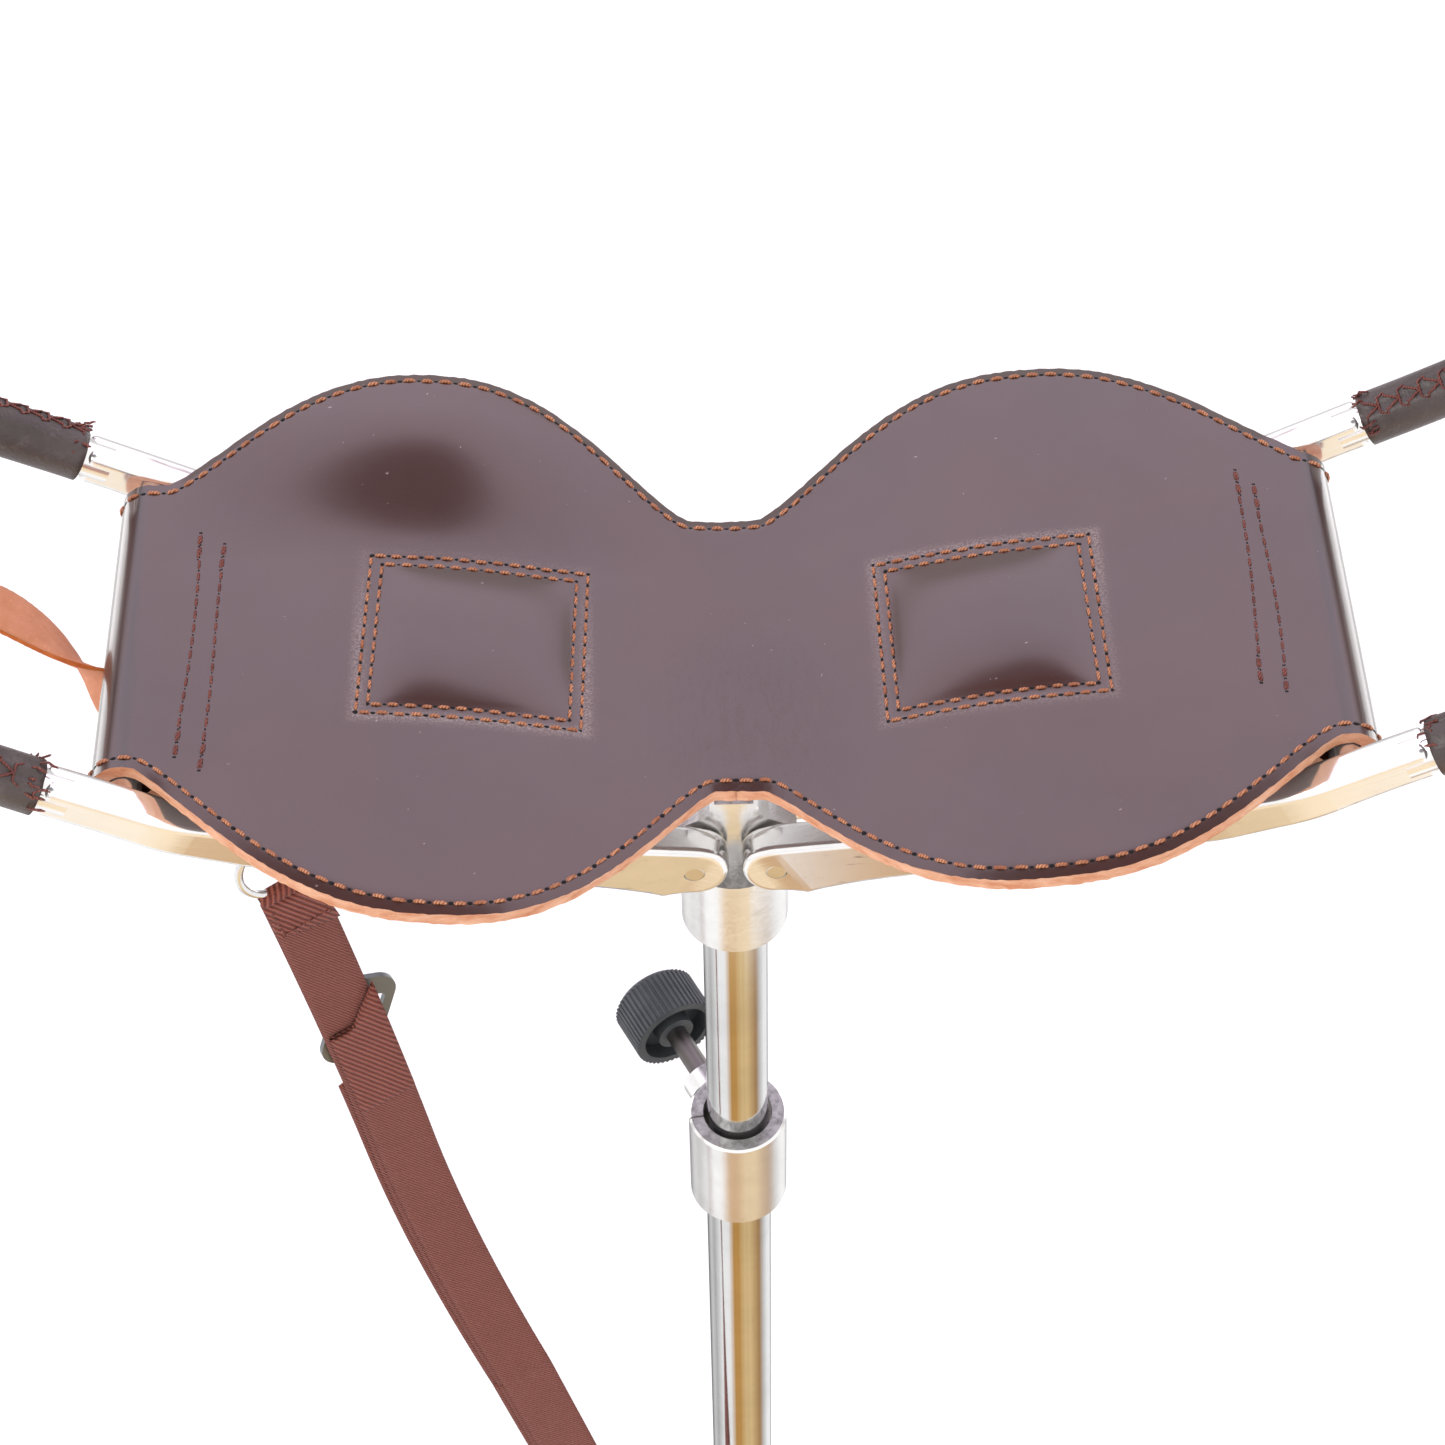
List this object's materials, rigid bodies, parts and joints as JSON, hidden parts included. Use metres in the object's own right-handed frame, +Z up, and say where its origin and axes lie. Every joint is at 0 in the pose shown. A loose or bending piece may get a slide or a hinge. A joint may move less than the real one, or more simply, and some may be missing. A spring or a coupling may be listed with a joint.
{
  "type": "folding seat stick",
  "caption": "Folding seat stick: a leather sling seat between fold-up handle arms, on a telescoping clamped tube with a ground spike and a carrying sling.",
  "frame": {"origin": "on the stick's axis at the underside of the ground plate, where the spike starts", "axes": "+Z up along the stick; X across the seat from arm to arm; -Y is the front, and the clamp knob is at the back left"},
  "size_m": [0.566, 0.21, 0.8791],
  "materials": {
    "tube_metal": "polished",
    "hub_metal": "polished",
    "arm_metal": "polished",
    "plain_steel": "satin",
    "plate_metal": "cast, lightly brushed",
    "ring_metal": "polished",
    "slide_metal": "satin",
    "pin_metal": "polished",
    "pad_brass": "satin",
    "knob_plastic": "moulded, ribbed",
    "bush_plastic": "smooth",
    "seat_leather": "smooth glazed",
    "lining_leather": "smooth",
    "grip_leather": "smooth",
    "strap_leather": "flesh side out, rough",
    "pad_felt": "felt",
    "sling_webbing": "twill"
  },
  "bodies": {
    "lower_stick": {"lower_tube": "tube_metal", "clamp_collar": "hub_metal", "end_ferrule": "hub_metal", "end_plug": "plain_steel", "ground_plate": "plate_metal", "ground_spike": "plain_steel", "sling_band": "ring_metal", "sling_low_ring": "ring_metal"},
    "clamp_screw": {"clamp_knob": "knob_plastic", "clamp_stud": "plain_steel", "clamp_pad": "pad_brass"},
    "upper_stick": {"upper_tube": "tube_metal", "slide_bush": "bush_plastic", "hub": "hub_metal", "hub_tube_pin": "plain_steel", "left_pivot_pin": "pin_metal", "right_pivot_pin": "pin_metal", "pivot_washers": "bush_plastic", "seat_top_leather": "seat_leather", "seat_lining": "lining_leather", "left_seat_pad": "pad_felt", "right_seat_pad": "pad_felt", "sling_webbing_lower": "sling_webbing"},
    "left_arm": {"left_arm_frame": "arm_metal", "left_crossbar": "arm_metal", "left_grip_leather": "grip_leather", "left_seat_loop": "seat_leather", "sling_strap": "strap_leather", "sling_strap_keeper": "strap_leather", "sling_top_ring": "ring_metal", "sling_webbing_upper": "sling_webbing", "sling_slide_adjuster": "slide_metal"},
    "right_arm": {"right_arm_frame": "arm_metal", "right_crossbar": "arm_metal", "right_grip_leather": "grip_leather", "right_seat_loop": "seat_leather"}
  },
  "joints": [
    {"name": "height_slide", "type": "slide", "parent": "lower_stick", "child": "upper_stick", "axis": [0, 0, 1], "range_m": [-0.11, 0.08], "deforming": ["sling_webbing_lower"]},
    {"name": "clamp_screw_turn", "type": "hinge", "parent": "lower_stick", "child": "clamp_screw", "pos_m": [0, 0, 0.486], "axis": [-0.454, 0.891, 0], "range_deg": [0, 540]},
    {"name": "left_arm_fold", "type": "hinge", "parent": "upper_stick", "child": "left_arm", "pos_m": [-0.013, 0, 0.66], "axis": [0, 1, 0], "range_deg": [0, 58], "deforming": ["sling_webbing_upper", "seat_top_leather", "seat_lining", "left_seat_pad"]},
    {"name": "right_arm_fold", "type": "hinge", "parent": "upper_stick", "child": "right_arm", "pos_m": [0.013, 0, 0.66], "axis": [0, -1, 0], "range_deg": [0, 58], "deforming": ["right_seat_pad"]}
  ]
}
